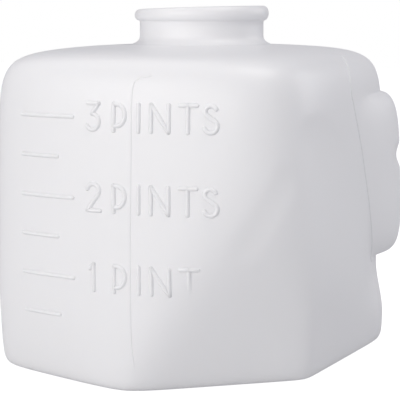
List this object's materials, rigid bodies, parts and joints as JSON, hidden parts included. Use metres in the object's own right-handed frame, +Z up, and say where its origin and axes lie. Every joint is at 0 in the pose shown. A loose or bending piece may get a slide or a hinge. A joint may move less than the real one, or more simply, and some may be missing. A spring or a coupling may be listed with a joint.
{
  "type": "urine bottle",
  "caption": "Square-bodied urine bottle of milky polythene with a beaded neck, a raised pint scale, facets cut back to the base and a moulded hand grip.",
  "frame": {"origin": "on the base plane, under the axis of the neck", "axes": "+Z up along the axis of the neck; -Y out of the face that carries the scale; +X towards the side with the hand grip"},
  "size_m": [0.1466, 0.1482, 0.152],
  "materials": {
    "natural_polythene": "blow-moulded, milky and slightly translucent, with a fine grain",
    "raised_polythene": "the same polythene, raised out of the wall"
  },
  "bodies": {
    "root": {"bottle_shell": "natural_polythene", "label_1_letter_I": "raised_polythene", "label_1_letter_N": "raised_polythene", "label_1_letter_P": "raised_polythene", "label_1_letter_T": "raised_polythene", "label_1_number": "raised_polythene", "label_2_letter_I": "raised_polythene", "label_2_letter_N": "raised_polythene", "label_2_letter_P": "raised_polythene", "label_2_letter_S": "raised_polythene", "label_2_letter_T": "raised_polythene", "label_2_number": "raised_polythene", "label_3_letter_I": "raised_polythene", "label_3_letter_N": "raised_polythene", "label_3_letter_P": "raised_polythene", "label_3_letter_S": "raised_polythene", "label_3_letter_T": "raised_polythene", "label_3_number": "raised_polythene", "mark_0_5_pint": "raised_polythene", "mark_1_0_pint": "raised_polythene", "mark_1_5_pint": "raised_polythene", "mark_2_0_pint": "raised_polythene", "mark_2_5_pint": "raised_polythene", "mark_3_0_pint": "raised_polythene"}
  },
  "joints": []
}
